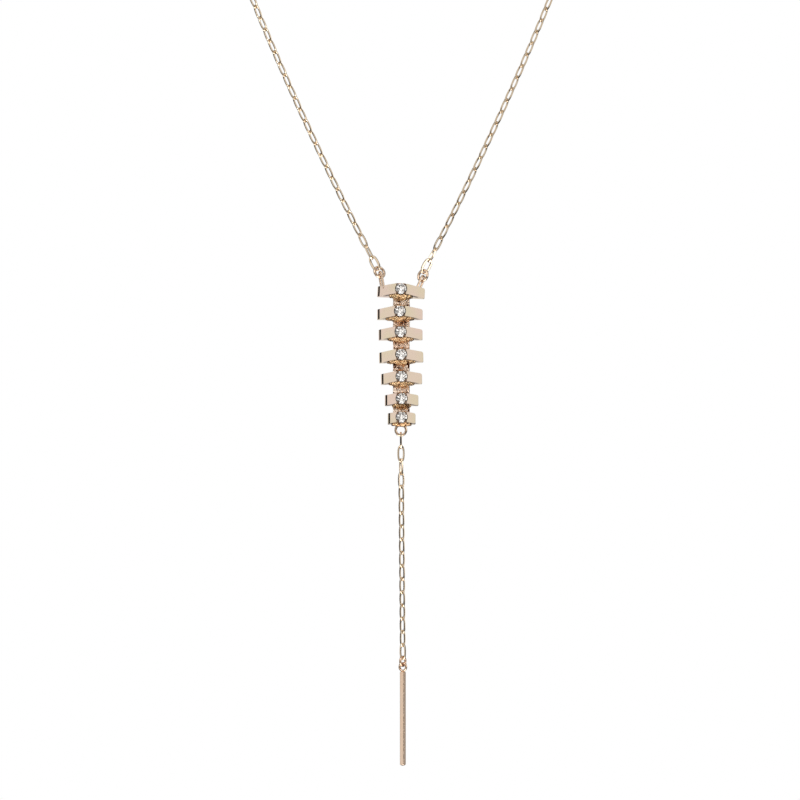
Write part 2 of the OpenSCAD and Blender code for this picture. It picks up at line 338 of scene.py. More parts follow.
# %% The tent
TENT_LIGHT, TENT_COLOUR = 0.61, (1, 0.99, 0.97, 1)
FLOOR_SHADE, FLOOR_LOW, FLOOR_HIGH = 0.70, -0.95, -0.45
BACK_SHADE, BACK_NEAR, BACK_FAR = 0.12, 0.15, 0.32
CARD_DARK, CARD_LIGHT, CARD_SCALE, CARD_EDGE = 0.09, 1.45, 2.2, (0.44, 0.56)
FLAGS = [  # azimuth from the camera, minus is left; half width, soft edge, low, high, depth
    (-99, 11, 2.5, -0.45, 0.50, 0.99),
    (0, 24, 6, -0.36, 0.33, 0.88),
    (50, 6, 3, -0.9, 0.9, 0.6),
    (-42, 4, 3, -0.9, 0.9, 0.6),
    (84, 32, 8, -0.97, -0.20, 0.93),
]
OPENINGS = [  # azimuth and elevation, half width, soft edge, light: bright cloths in the dim tent
    (-79, 17, 14, 5, 0.94),
    (84, 16, 17, 5, 0.91),
    (-62, 0, 7, 3, 0.90),
    (0, 29, 10, 4, 0.90),
    (0, -70, 28, 9, 4.1),
    (-129, 6, 11, 4, 0.85),
    (133, 6, 8, 4, 0.85),
    (116, 0, 8, 3, 0.42),
    (180, -30, 11, 5, 0.85),
    (180, 53, 16, 6, 0.85),
    (-27, 48, 5, 3, 2.6),
    (14, -36, 8, 4, 3.3),
]


def cosine(degrees):
    return math.cos(math.radians(degrees))


def toward(azimuth, elevation=0):
    """The unit vector in a direction. Azimuth 0 is where the camera stands."""
    angle, rise = math.radians(azimuth), math.radians(elevation)
    return math.sin(angle) * math.cos(rise), -math.cos(angle) * math.cos(rise), math.sin(rise)


def build_tent():
    world = bpy.data.worlds.new("tent")
    bpy.context.scene.world = world
    world.use_nodes = True
    world.node_tree.nodes.clear()
    add, link, calc = wire_up(world.node_tree)
    direction = link(add("TexCoord"), add("VectorMath", UNIT))
    split = link(direction, add("SeparateXYZ"))
    low = link(split, add("MapRange", _1=FLOOR_LOW, _2=FLOOR_HIGH, _3=FLOOR_SHADE * TENT_LIGHT,
                          _4=TENT_LIGHT), "Z", 0)
    back = link(split, add("MapRange", SMOOTH_STEP, _1=BACK_NEAR, _2=BACK_FAR, _3=1.0, _4=BACK_SHADE),
                "Y", 0)
    light = calc("MULTIPLY", low, back)
    group = opening_group()
    for azimuth, elevation, half, soft, glow in OPENINGS:
        window = add("Group", {"node_tree": group}, Toward=toward(azimuth, elevation), Light=glow,
                     Edge=cosine(half + soft), Core=cosine(half))
        link(direction, window, 0, "Direction")
        light = link(light, window, 0, "Wall")
    group = flag_group()
    for azimuth, half, soft, low, high, depth in FLAGS:
        flag = add("Group", {"node_tree": group}, Toward=toward(azimuth), Edge=cosine(half + soft),
                   Core=cosine(half), Low=low, High=high, Depth=depth)
        link(direction, flag, 0, "Direction")
        light = calc("MULTIPLY", light, flag)
    ray = add("LightPath")
    cards = link(direction, add("TexNoise", _2=CARD_SCALE, _3=1.0), 0, 0)
    cards = link(cards, add("MapRange", SMOOTH_STEP, _1=CARD_EDGE[0], _2=CARD_EDGE[1], _3=CARD_DARK,
                            _4=CARD_LIGHT))
    through = link(ray, add("Mix"), "Is Transmission Ray", 0)
    link(light, through, 0, 2)
    link(cards, through, 0, 3)
    seen = add("Background", Color=(1, 1, 1, 1))
    tent = link(through, add("Background", Color=TENT_COLOUR), 0, "Strength")
    mix = link(ray, add("MixShader"), "Is Camera Ray", 0)
    link(tent, mix, 0, 1)
    link(seen, mix, 0, 2)
    link(mix, add("OutputWorld"))


build_tent()
print("tent with", len(FLAGS), "flags and", len(OPENINGS), "openings")

# %% [markdown]
# ## Lamps and a pale floor
#
# Two soft boxes give the highlights a place, one above on the left and one low on the right. The
# floor is a pale disc well below the bar. The camera looks straight ahead and never sees it, but it
# catches a soft shade in the views from above.

# %% Soft boxes and floor
SOFT_BOXES = [  # name, place and size in metres, power in watts
    ("box_left", (-0.7, -0.8, 0.7), (0.5, 0.5), 3),
    ("box_right", (0.9, -0.7, 0.1), (0.3, 0.7), 2),
]
FLOOR_LEVEL, FLOOR_RADIUS = -0.30, 1.5

for name, at, size, power in SOFT_BOXES:
    data = bpy.data.lights.new(name, "AREA")
    data.shape = "RECTANGLE"
    data.size, data.size_y = size
    data.energy = power
    lamp = placed(name, data)
    lamp.location = at
    lamp.rotation_euler = (AIM - Vector(at)).to_track_quat("-Z", "Y").to_euler()

bpy.ops.mesh.primitive_circle_add(vertices=96, radius=FLOOR_RADIUS, fill_type="NGON",
                                  location=(0, 0, FLOOR_LEVEL))
floor = made("floor")
bpy.ops.object.transform_apply()
floor.visible_glossy = floor.visible_transmission = False

# %% [markdown]
# ## Metal with a hand's traces
#
# Gold in use is never one flat colour. Fine wiping scratches change its roughness, the alloy drifts
# a little between pink and yellow, and polish leaves low waves. One node group holds these traces
# for every metal here, and each material sets its own scale and strength.

# %% The metal traces group
def new_material(name):
    """A material without nodes, and the three helpers that fill it."""
    material = bpy.data.materials.new(name)
    material.use_nodes = True
    material.node_tree.nodes.clear()
    return material, *wire_up(material.node_tree)


def mottled(add, link, scale, detail, **levels):
    """Noise that stays on the object. _1 and _2 are its least and most, and become _3 and _4."""
    noise = link(add("TexCoord"), add("TexNoise", _2=scale, _3=detail), "Object", 0)
    return link(noise, add("MapRange", **levels))


def traces_group():
    """Colour, roughness and height of a metal that was polished, wiped and worn."""
    inputs = {"Color": ["Colour", "Drift colour"],
              "Float": ["Drift", "Smoothest", "Roughest", "Scratch scale", "Wave scale", "Scratch share"]}
    outputs = {"Color": ["Colour"], "Float": ["Roughness", "Height"]}
    group, start, end = new_group("metal_traces", inputs, outputs)
    add, link, calc = wire_up(group)
    place = add("TexCoord")
    drift = mottled(add, link, 180.0, 2.0, _1=0.36, _2=0.64)
    share = calc("MULTIPLY", drift, start, 0, "Drift")
    colour = link(share, add("Mix", COLOURS), 0, 0)
    link(start, colour, "Colour", 6)
    link(start, colour, "Drift colour", 7)
    link(colour, end, 2, 0)
    stretched = link(place, add("Mapping", _3=(1.0, 1.0, 0.12)), "Object", 0)
    scratch = link(stretched, add("TexNoise", _3=4.0, _4=0.7), 0, 0)
    link(start, scratch, "Scratch scale", "Scale")
    rough = link(scratch, add("MapRange", _1=0.3, _2=0.7))
    link(start, rough, "Smoothest", 3)
    link(start, rough, "Roughest", 4)
    link(rough, end, 0, 1)
    wave = link(place, add("TexNoise", _3=1.0), "Object", 0)
    link(start, wave, "Wave scale", "Scale")
    height = link(start, add("Mix"), "Scratch share", 0)
    link(wave, height, 0, 2)
    link(scratch, height, 0, 3)
    link(height, end, 0, 2)
    return group


TRACES = traces_group()
PIT_SCALE, PIT_DEPTH = 1500.0, 0.00045


def metal(name, colour, drift_colour, traces, bump, hollow=None):
    """A polished metal. traces holds the group's own values, bump the depth of its waves in metres.

    A cast metal has pits too, and painted shade: a dark colour, and the most and the least that noise
    adds to the mark on the piece, which says where that painted shade shows."""
    material, add, link, calc = new_material(name)
    marks = add("Group", {"node_tree": TRACES}, Colour=(*colour, 1),
                **{"Drift colour": (*drift_colour, 1)}, **traces)
    surface = add("BsdfPrincipled", Metallic=1.0)
    link(marks, surface, "Roughness", "Roughness")
    relief = add("Bump", Distance=bump)
    link(marks, relief, "Height", "Height")
    if hollow:
        shade_colour, most, least = hollow
        # The mark holds painted shade, and noise specks break it up.
        depth = add("Attribute", {"attribute_name": "hollow"})
        speck = mottled(add, link, 1300.0, 2.0, _1=0.33, _2=0.62, _3=most, _4=least)
        shade_share = calc("ADD", depth, speck, 2, 0)
        shade_share.use_clamp = True
        shade = link(shade_share, add("Mix", COLOURS, _7=(*shade_colour, 1)), 0, 0)
        link(marks, shade, "Colour", 6)
        link(shade, surface, 2, "Base Color")
        pits = link(add("TexCoord"), add("TexNoise", _2=PIT_SCALE, _3=3.0, _4=0.6), "Object", 0)
        link(link(pits, add("Bump", Distance=PIT_DEPTH), 0, "Height"), relief, 0, "Normal")
    else:
        link(marks, surface, "Colour", "Base Color")
    link(relief, surface, 0, "Normal")
    link(surface, add("OutputMaterial"))
    return material


# %% The metals
def wear(drift, smoothest, roughest, scratch_scale, wave_scale=400.0, scratch_share=0.3):
    """The values for the traces group."""
    return {"Drift": drift, "Smoothest": smoothest, "Roughest": roughest, "Scratch scale": scratch_scale,
            "Wave scale": wave_scale, "Scratch share": scratch_share}


CAST, CAST_SPINE = wear(0.8, 0.14, 0.38, 3000.0), wear(0.8, 0.10, 0.28, 3000.0)
satin_rose = metal("satin_rose", (0.81, 0.63, 0.55), (0.765, 0.66, 0.485),
                   wear(0.95, 0.08, 0.16, 4000.0, 250.0), 3e-6)
# After its colours, each cast metal gives its painted shade: a dark colour, and the most and the least
# that noise adds to its mark.
cast_gold = metal("cast_gold", (1.0, 0.75, 0.42), (1.0, 0.61, 0.33), CAST, 1e-5,
                  ((0.18, 0.065, 0.02), 0.95, -1.9))
cast_amber = metal("cast_amber", (1.0, 0.72, 0.41), (1.0, 0.60, 0.32), CAST, 1e-5,
                   ((0.15, 0.05, 0.015), 1.05, -2.1))
cast_rose = metal("cast_rose", (1.0, 0.86, 0.73), (1.0, 0.74, 0.57), CAST_SPINE, 1e-5,
                  ((0.11, 0.038, 0.016), 0.75, -2.2))
deep_rose = metal("deep_rose", (0.80, 0.57, 0.42), (0.78, 0.52, 0.34),
                  wear(0.8, 0.07, 0.20, 2500.0), 4e-6)
# A nearly black gold for the bead prongs, as painted shade round each stone.
prong_painted_shade = metal("prong_painted_shade", (0.26, 0.17, 0.12), (0.14, 0.085, 0.06),
                   wear(0.7, 0.12, 0.30, 3000.0), 6e-6)
# A dark metal for the wall of each stone's cup, as painted shade round the stone.
seat_painted_shade = metal("seat_painted_shade", (0.12, 0.075, 0.05), (0.08, 0.045, 0.03),
                  wear(0.7, 0.15, 0.35, 3000.0), 6e-6)
pale_gold = metal("pale_gold", (0.92, 0.76, 0.57), (0.88, 0.69, 0.49),
                  wear(0.6, 0.16, 0.24, 3000.0), 1e-6)
wire_gold = metal("wire_gold", (0.84, 0.64, 0.49), (0.80, 0.59, 0.40),
                  wear(0.6, 0.24, 0.30, 2500.0), 1e-6)
bar_gold = metal("bar_gold", (0.80, 0.61, 0.47), (0.81, 0.58, 0.41),
                 wear(0.8, 0.06, 0.20, 2500.0, 1300.0, 0.1), 3.5e-5)

# %% [markdown]
# ## Undersides, stone and floor
#
# The middle of a rib's underside, next to the collar, gets painted shade: a copy of the satin finish
# turns brown there by its place. Clear stone is plain transmission that bends light strongly, because
# its facets do the rest. The floor is matt plaster.

# %% The underside of the ribs
UNDERSIDE_SHADE = (0.10, 0.04, 0.015, 1)
SHADE_REACH, UNSHADED_REACH, SHADE_EDGE_NOISE = 0.0029, 0.0038, 0.0004


def underside():
    """The satin finish with painted shade: brown near the middle, next to the collar, and its own colour
    further out.
    """
    material = satin_rose.copy()
    material.name = "rib_painted_shade"
    add, link, calc = wire_up(material.node_tree)
    surface = next(node for node in material.node_tree.nodes if node.type == "BSDF_PRINCIPLED")
    unshaded_colour = surface.inputs["Base Color"].links[0].from_socket
    across = link(add("TexCoord"), add("SeparateXYZ"), "Object", 0)
    across = link(across, add("Math", {"operation": "ABSOLUTE"}))
    # The noise only makes the edge of the painted shade ragged.
    worn = mottled(add, link, 1500.0, 3.0, _1=0.3, _2=0.7, _3=-SHADE_EDGE_NOISE, _4=SHADE_EDGE_NOISE)
    unshaded_share = link(calc("ADD", across, worn), add("MapRange", _1=SHADE_REACH, _2=UNSHADED_REACH))
    shade = link(unshaded_share, add("Mix", COLOURS, _6=UNDERSIDE_SHADE), 0, 0)
    material.node_tree.links.new(unshaded_colour, shade.inputs[7])
    link(shade, surface, 2, "Base Color")
    return material


rib_painted_shade = underside()

# %% Clear stone and floor
# The stone's faint warm tint is a painted reflection of the gold round it.
STONE_GOLD_REFLECTION_TINT, STONE_INDEX = (1.0, 0.965, 0.93, 1), 2.2


def clear_stone():
    material, add, link, _ = new_material("clear_stone")
    polish = mottled(add, link, 1800.0, 2.0, _1=0.4, _2=0.8, _3=0.0, _4=0.03)
    surface = add("BsdfPrincipled", IOR=STONE_INDEX,
                  **{"Base Color": STONE_GOLD_REFLECTION_TINT, "Transmission Weight": 1.0})
    link(polish, surface, 0, "Roughness")
    link(surface, add("OutputMaterial"))
    return material


def plaster():
    material, add, link, _ = new_material("plaster")
    tone = mottled(add, link, 3.0, 3.0, _1=0.3, _2=0.7, _3=0.86, _4=0.90)
    surface = add("BsdfPrincipled", Roughness=0.8)
    link(tone, surface, 0, "Base Color")
    link(surface, add("OutputMaterial"))
    return material


stone_clear = clear_stone()
floor.data.materials.append(plaster())


def coat(piece, material):
    piece.data.materials.clear()
    piece.data.materials.append(material)


def dress(piece, material, node="rib_pendant"):
    """Gives a modelled piece its material, its body and the solid that it stands for."""
    coat(piece, material)
    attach(piece, "necklace")
    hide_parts(node)
    print(piece.name, "has", len(piece.data.polygons), "faces")


# %% [markdown]
# ## The rib bars
#
# A rib is a short length of square bar stock. A goldsmith saws it: two long slanting cuts sweep the
# wings back from the flat seat, and two short cuts take off each tip. The same order works here. A
# cube of the bar's size is bisected by one plane for each cut, then a bevel breaks the sharp edges,
# because a real edge always carries a thin line of light.

# %% Saw a rib
LEFT, RIGHT = 0, 1
CORNERS = (0.12, 0.30)
SPINE_GRIP, ALONG = 0.3, 0.9


def wing_depth(x):
    """How far the front of a wing has swept back at this distance from the middle."""
    return (x - SEAT_HALF) * math.tan(SWEEP)


def saw_rib(name, half):
    back = max(wing_depth(half) + RIB_WALL, SPINE_FRONT + SPINE_GRIP)
    bpy.ops.mesh.primitive_cube_add(size=1, location=(0, back / 2, 0))
    bar = made(name)
    bar.scale = (2 * half, back, RIB_HEIGHT)
    bpy.ops.object.transform_apply()
    for side, radius in zip((-1, 1), CORNERS):
        enter(bar)
        pick(bar, "EDGE", lambda middle, way: abs(way.y) > ALONG and middle.x * side > 0)
        bpy.ops.mesh.bevel(offset=radius, segments=4)
        leave()
    bevel_x = half - TIP_BEVEL - TIP_TURN
    for side in (-1, 1):
        cut(bar, (side * SEAT_HALF, 0, 0), (side * math.sin(SWEEP), -math.cos(SWEEP), 0))
        cut(bar, (side * bevel_x, wing_depth(bevel_x), 0), (side, -1, 0))
        cut(bar, (side * half, wing_depth(bevel_x) + TIP_BEVEL + 2 * TIP_TURN, 0), (side * 2, -1, 0))
    return bar


# %% [markdown]
# ## A seat for each stone
#
# The stone drops into a cup that follows its own form with a hair's gap: a short wall round the
# girdle, a cone under it and a small hole that lets light in from behind. The cup is cut out of the
# bar and of the collar with one turned cutter, a disc that is extruded and scaled step by step.

# %% Turned pieces and the cutter
STONE_R = 1.075
TABLE_R = 0.58 * STONE_R
GIRDLE, CROWN, PAVILION = 0.06, 0.36, 0.92
GAP, RIM_GAP = 0.05, 0.13
LIGHT_HOLE, HOLE_END = 0.45, 4


def turn(name, steps, sides=48):
    """A round piece along +Z from (depth, radius) steps. BACKWARDS makes it run along +Y."""
    depth, radius = steps[0]
    bpy.ops.mesh.primitive_circle_add(vertices=sides, radius=radius, fill_type="NGON",
                                      location=(0, 0, depth))
    piece = made(name)
    bpy.ops.object.transform_apply()
    enter(piece, "SELECT")
    for next_depth, next_radius in steps[1:]:
        bpy.ops.mesh.extrude_region_move(TRANSFORM_OT_translate={"value": (0, 0, next_depth - depth)})
        bpy.ops.transform.resize(value=(next_radius / radius, next_radius / radius, 1))
        depth, radius = next_depth, next_radius
    leave()
    outward(piece)
    return piece


def cone_end(radius):
    """Depth at which the cup's cone has narrowed to this radius."""
    return GIRDLE + GAP + PAVILION * (1 - (radius - GAP) / STONE_R)


def cup_cutter(top, gap):
    """The cutter for a cup. top holds its steps above the girdle, gap is the room round the girdle."""
    cutter = turn("cup_cutter", [*top, (GIRDLE + GAP, STONE_R + gap), (cone_end(LIGHT_HOLE), LIGHT_HOLE),
                                 (HOLE_END, LIGHT_HOLE)])
    cutter.data.transform(BACKWARDS)
    return cutter


def carve(piece, cutter):
    modify(piece, "BOOLEAN", object=cutter, operation="DIFFERENCE", solver="EXACT")


open_cutter = cup_cutter([(-1, STONE_R + RIM_GAP)], RIM_GAP)
prong_cutter = cup_cutter([(-2, TABLE_R + GAP), (-CROWN - GAP, TABLE_R + GAP),
                           (-GAP / 2, STONE_R + GAP)], GAP)

# %% Make the seven ribs
EDGE = 0.03
# The scored lines at this depth bound the painted shade under the wings.
SHADE_LINE_DEPTH, SHADE_LINE_SLACK = 0.9, 0.05
FLAT_FACES, BEAD_FACES, ROUND_FACES = 4, 40, 60
FACING_DOWN, FACING_IN = -0.8, -0.2


def finish_faces(piece, finish, test):
    """Gives the faces whose middle and normal pass the test another finish."""
    piece.data.materials.append(finish)
    for face in piece.data.polygons:
        if test(face.center, face.normal):
            face.material_index = len(piece.data.materials) - 1


def in_seat(middle, normal):
    """Faces that look towards the cup's axis and lie in the cup."""
    radius = math.hypot(middle.x, middle.z)
    inwards = normal.x * middle.x + normal.z * middle.z < FACING_IN * radius
    return radius < STONE_R + RIM_GAP + CLEAR_OF and inwards


def under_wings(middle, normal):
    """Faces under the rib that lie in front of the scored lines."""
    scored = SHADE_LINE_DEPTH + SHADE_LINE_SLACK + wing_depth(max(SEAT_HALF, abs(middle.x)))
    return normal.z < FACING_DOWN and middle.y < scored


for number, rib in enumerate(RIBS, 1):
    bar = saw_rib(f"rib_bar_{number}", rib[HALF])
    for side in (-1, 0, 1):
        score(bar, (side * SEAT_HALF, SHADE_LINE_DEPTH, 0), (side * math.sin(SWEEP), -math.cos(SWEEP), 0))
    carve(bar, open_cutter)
    round_edges(bar, EDGE, 2)
    smooth(bar, FLAT_FACES)
    dress(bar, satin_rose)
    # Painted shade under the wings near the collar.
    finish_faces(bar, rib_painted_shade, under_wings)
    # Painted shade on the cup's wall.
    finish_faces(bar, seat_painted_shade, in_seat)
    settle(bar, rib_place(rib))

# %% [markdown]
# ## Collars behind the ribs
#
# Behind each bar sits a round collar that holds the cup, and its underside shows below the bar as a
# golden belly with a horn on either side. It is cast and hardly polished. It is turned like the
# cutter and spread a little, two proportional pulls draw the horns out, the cutter carves it, and
# then a fine displacement breaks its surface. A mark on each vertex says how much painted shade it
# gets: brown on the heel and dark in the crease just above the bar, with the rim above that left
# bright as a painted highlight.

# %% Make the collars
COLLAR_FRONT, COLLAR_BACK, COLLAR_SAG, COLLAR_SPREAD = 0.45, 2.75, 0.05, 0.3
COLLAR_FLARE, COLLAR_HEEL, HEEL_ROUND = 0.6, 0.5, 0.4
COLLAR_SIDES, COLLAR_RINGS = 112, (6, 8, 3)
TOP_CUT = 1.3
HORN_SIDE, HORN_DEPTH, HORN_LEVEL, HORN_BAND = 1.2, 1.2, 1.12, 0.09
HORN_DROOP, HORN_ROOT = (0.2, -0.05), 0.62
COLLAR_GRAIN, SPINE_GRAIN = 0.30, 0.22
# Over the rim the collar is dark from the rim level up, as painted shade, and bright above, as a painted
# highlight.
RIM_LEVEL, RIM_SHADE_END, RIM_HIGHLIGHT = 1, 1.42, -0.3
SCALLOP, SCALLOP_PITCH = 0.10, 3.2
BELLY_TOP = 0.6
YELLOW_COLLARS = (1, 2, 7)
# Bands of painted shade on the collar's heel.
HEEL_SHADES = [(1.0, 0.35, 0.30), (1.95, 0.25, 0.35)]  # where a brown starts, its run, its share

cast_grain = bpy.data.textures.new("cast_grain", "CLOUDS")
cast_grain.noise_scale = 0.30
cast_grain.noise_depth = 2


def roughen(piece, strength):
    modify(piece, "DISPLACE", texture=cast_grain, strength=strength, texture_coords="LOCAL")
    smooth(piece, ROUND_FACES)


def between(start, end, steps):
    """Evenly spaced steps from one (depth, radius) to the next, without the first."""
    return [tuple(a + (b - a) * k / steps for a, b in zip(start, end)) for k in range(1, steps + 1)]


def pull(piece, test, way, **options):
    """Moves the points that pass the test. The options can make it a proportional pull."""
    enter(piece)
    pick(piece, "VERT", test)
    bpy.ops.transform.translate(value=way, **options)
    leave()


def make_collar(name, radius, horn, top):
    front, rim = (COLLAR_FRONT, SEAT_HALF), (COLLAR_FRONT + COLLAR_FLARE, radius)
    heel, back = (COLLAR_BACK - COLLAR_HEEL, radius), (COLLAR_BACK, radius - HEEL_ROUND)
    corners = [front, rim, heel, back]
    steps = [front]
    for start, end, count in zip(corners, corners[1:], COLLAR_RINGS):
        steps += between(start, end, count)
    ring = turn(name, steps, COLLAR_SIDES)
    ring.data.transform(Matrix.Translation((0, 0, -COLLAR_SAG)) @ BACKWARDS)
    for side in (-1, 1):
        pull(ring, lambda point: point.x * side > CLEAR_OF, (side * COLLAR_SPREAD, 0, 0))
    for side in (-1, 1):
        pull(ring, lambda point: point.x * side > HORN_SIDE and point.y > HORN_DEPTH
             and abs(point.z + HORN_LEVEL) < HORN_BAND, (side * horn, *HORN_DROOP),
             use_proportional_edit=True, proportional_edit_falloff="SHARP", proportional_size=HORN_ROOT)
    carve(ring, open_cutter)
    if top:
        cut(ring, (0, 0, top), (0, 0, 1))
    roughen(ring, COLLAR_GRAIN)
    return ring


def scallop(x):
    """The wavy border between painted highlight and painted shade."""
    return SCALLOP * abs(math.sin(SCALLOP_PITCH * x))


def within(value):
    return min(1, max(0, value))


def collar_painted_shade(point):
    """How much painted shade a point of a collar gets: dark just above the bar, bright as a painted
    highlight higher on the rim, and brown on the heel.
    """
    if point.z > RIM_LEVEL:
        return 1.0 if point.z < RIM_SHADE_END + scallop(point.x) else RIM_HIGHLIGHT
    brown = sum(share * within((point.y - start) / run) for start, run, share in HEEL_SHADES)
    return within(BELLY_TOP - point.z) * brown


for number, rib in enumerate(RIBS, 1):
    ring = make_collar(f"collar_{number}", rib[COLLAR], rib[HORN], TOP_CUT if number == 1 else None)
    # Painted shade on the heel and in the crease just above the bar.
    paint_shade(ring, collar_painted_shade)
    settle(ring, rib_place(rib))
    dress(ring, cast_gold if number in YELLOW_COLLARS else cast_amber)
    rib_top = (rib_place(rib).translation.z + RIB_HEIGHT / 2) * MM
    # The collar's top above the bar takes the lighter rose finish, as a painted highlight.
    finish_faces(ring, cast_rose, lambda middle, normal: middle.z > rib_top)

# %% [markdown]
# ## Bead prongs
#
# Four beads at the corners of the seat hold each stone. A bead is a sphere whose back half is drawn
# out into a post, and a cutter with the stone's form notches it. One set of four is modelled and
# copied to every rib.

# %% Make the prongs
PRONG_R, PRONG_RING, PRONG_UP, PRONG_POST = 0.21, 1.16, 0.20, 0.7


def make_prongs():
    beads = []
    for quarter in range(4):
        angle = math.radians(45 + 90 * quarter)
        bpy.ops.mesh.primitive_uv_sphere_add(segments=20, ring_count=12, radius=PRONG_R)
        bead = made("bead")
        pull(bead, lambda point: point.z > CLEAR_OF, (0, 0, PRONG_POST))
        bead.data.transform(Matrix.Translation((PRONG_RING * math.cos(angle), -PRONG_UP,
                                                PRONG_RING * math.sin(angle))) @ BACKWARDS)
        beads.append(bead)
    prongs = joined(beads, "prongs")
    carve(prongs, prong_cutter)
    smooth(prongs, BEAD_FACES)
    return prongs


prong_set = make_prongs()
for number, rib in enumerate(RIBS, 1):
    prongs = settle(copy_of(prong_set, f"prongs_{number}"), rib_place(rib))
    # The beads are painted dark, as shade round the stone.
    dress(prongs, prong_painted_shade)

# %% [markdown]
# ## The stones
#
# A round brilliant is ground from a short rod, one flat facet after another, and so is this one.
# Eight kites, eight stars and sixteen halves make the crown, and eight mains with sixteen halves
# the point. Every facet is one bisecting plane that is given by its direction, its slope and a point.

# %% Cut one stone
STAR_SLOPE = math.tan(math.radians(24))
MAIN_TURN, HALF_TURN = 45, 22.5
LOWER_MEET, UPPER_MEET = 0.25 * STONE_R, 0.82 * STONE_R


def facet(rod, azimuth, slope, radius, depth, side):
    """Grinds one facet. slope is the tangent of its angle, side is -1 on the crown and 1 below."""
    turn_to = math.radians(azimuth)
    around = Vector((math.cos(turn_to), math.sin(turn_to), 0))
    cut(rod, around * radius + Vector((0, 0, depth)), around * slope + Vector((0, 0, side)))


def cut_stone():
    """Halves meet the mains at LOWER_MEET from the axis, and the kites at UPPER_MEET."""
    bpy.ops.mesh.primitive_cylinder_add(vertices=64, radius=STONE_R, depth=CROWN + GIRDLE + PAVILION,
                                        location=(0, 0, (GIRDLE + PAVILION - CROWN) / 2))
    rod = made("stone")
    bpy.ops.object.transform_apply()
    kite = CROWN / (STONE_R - TABLE_R)
    main = PAVILION / STONE_R
    narrowed = cosine(HALF_TURN / 2)
    lower = (PAVILION - LOWER_MEET * narrowed * main) / (STONE_R - LOWER_MEET)
    upper = kite * (STONE_R - narrowed * UPPER_MEET) / (STONE_R - UPPER_MEET)
    for k in range(8):
        facet(rod, MAIN_TURN * k, main, 0, GIRDLE + PAVILION, 1)
        facet(rod, MAIN_TURN * k, kite, STONE_R, 0, -1)
        facet(rod, MAIN_TURN * k + HALF_TURN, STAR_SLOPE, TABLE_R * cosine(HALF_TURN), -CROWN, -1)
    for k in range(16):
        facet(rod, HALF_TURN * (k + 0.5), lower, STONE_R, GIRDLE, 1)
        facet(rod, HALF_TURN * (k + 0.5), upper, STONE_R, 0, -1)
    outward(rod)
    rod.data.transform(BACKWARDS)
    return rod


stone_model = cut_stone()
for number, rib in enumerate(RIBS, 1):
    stone = settle(copy_of(stone_model, f"cut_stone_{number}"), rib_place(rib))
    dress(stone, stone_clear, f"stone_{number}")

# %% [markdown]
# ## The spine
#
# A flat band runs behind the collars and ties the ribs together on their large circle. One upright
# rectangle is spun about the circle's centre, as a band is rolled, and gets the cast finish too, with
# painted shade under each collar and above each rib.

# %% Roll the spine
SPINE_STEPS, SPINE_STRIPS, SPINE_EDGE = 200, 24, 0.12
# Painted shade along the band: brown under each collar, clear as a painted highlight, then dark above the
# next rib.
SPINE_SHADE_BANDS = [  # distance under a collar, and how brown the band is there
    (0, 0.60), (2.48, 0.60), (2.58, -0.40), (2.80, -0.40), (2.92, 1.0), (3.08, 1.0), (3.20, 0.2),
]


def roll_spine():
    bpy.ops.mesh.primitive_plane_add(size=1)
    band = made("spine_band")
    band.scale = (SPINE_WIDTH, SPINE_THICK, 1)
    band.location = (0, SPINE_FRONT + SPINE_THICK / 2 - SPINE_ARC, 0)
    bpy.ops.object.transform_apply()
    band.data.transform(Matrix.Rotation(-TOP_LEAN, 4, "X"))
    foot_lean = lean_of(RIBS[-1][DROP])
    enter(band, "SELECT")
    bpy.ops.mesh.spin(steps=SPINE_STEPS, angle=TOP_LEAN - foot_lean, center=(0, 0, 0), axis=(-1, 0, 0))
    leave()
    outward(band)
    round_edges(band, SPINE_EDGE, 3)
    for strip in range(1, SPINE_STRIPS):
        score(band, (SPINE_WIDTH * (strip / SPINE_STRIPS - 0.5), 0, 0), (1, 0, 0))
    roughen(band, SPINE_GRAIN)
    return band


def spine_painted_shade(point):
    """Painted shade on the band: brown under each collar, then clear for a painted highlight, then dark
    in the crevice above the next rib.
    """
    along = math.asin(point.z / math.hypot(point.y, point.z)) * SPINE_ARC
    under = [lean_of(rib[DROP]) * SPINE_ARC - along + scallop(point.x) for rib in RIBS]
    under = min((distance for distance in under if distance > 0), default=0)
    for (start, low), (end, high) in zip(SPINE_SHADE_BANDS, SPINE_SHADE_BANDS[1:]):
        if start <= under < end:
            return low + (high - low) * (under - start) / (end - start)
    return SPINE_SHADE_BANDS[-1][1]


spine = roll_spine()
paint_shade(spine, spine_painted_shade)
dress(settle(spine, ARC_CENTRE), cast_rose)

# %% [markdown]
# ## The path of the neck chain
#
# Each side of the loop leaves its jump ring along the line that the picture shows, then takes one
# smooth curve up and round to the back of the neck. Links are of one length, so the path is measured
# and the links are spread along it evenly, each turned a quarter about the run from the last one.

# %% Measure the path
START_HALF, LEG_TOP = 4.2, 56
LEG_SLOPE, LEG_BOW = 0.522, 0.00105
LEAN_SLOPE, LEAN_BOW = 0.235, 0.0012
START_RISES = [1.04, 0.44]
SIDE_PULL, BACK_PULL = 78, 79
CLASP_REACH = 3.6
LINK_WIRE, LINK_PITCH, LINK_PLAY = 0.36, 2.64, 0.10
BACK_END = Vector((0, 104, 124))
PATH_STEPS = 600


def leg(h):
    """The path's nearly straight part, at height h over the jump rings."""
    return Vector((START_HALF + LEG_SLOPE * h - LEG_BOW * h * h, LEAN_SLOPE * h + LEAN_BOW * h * h, h))


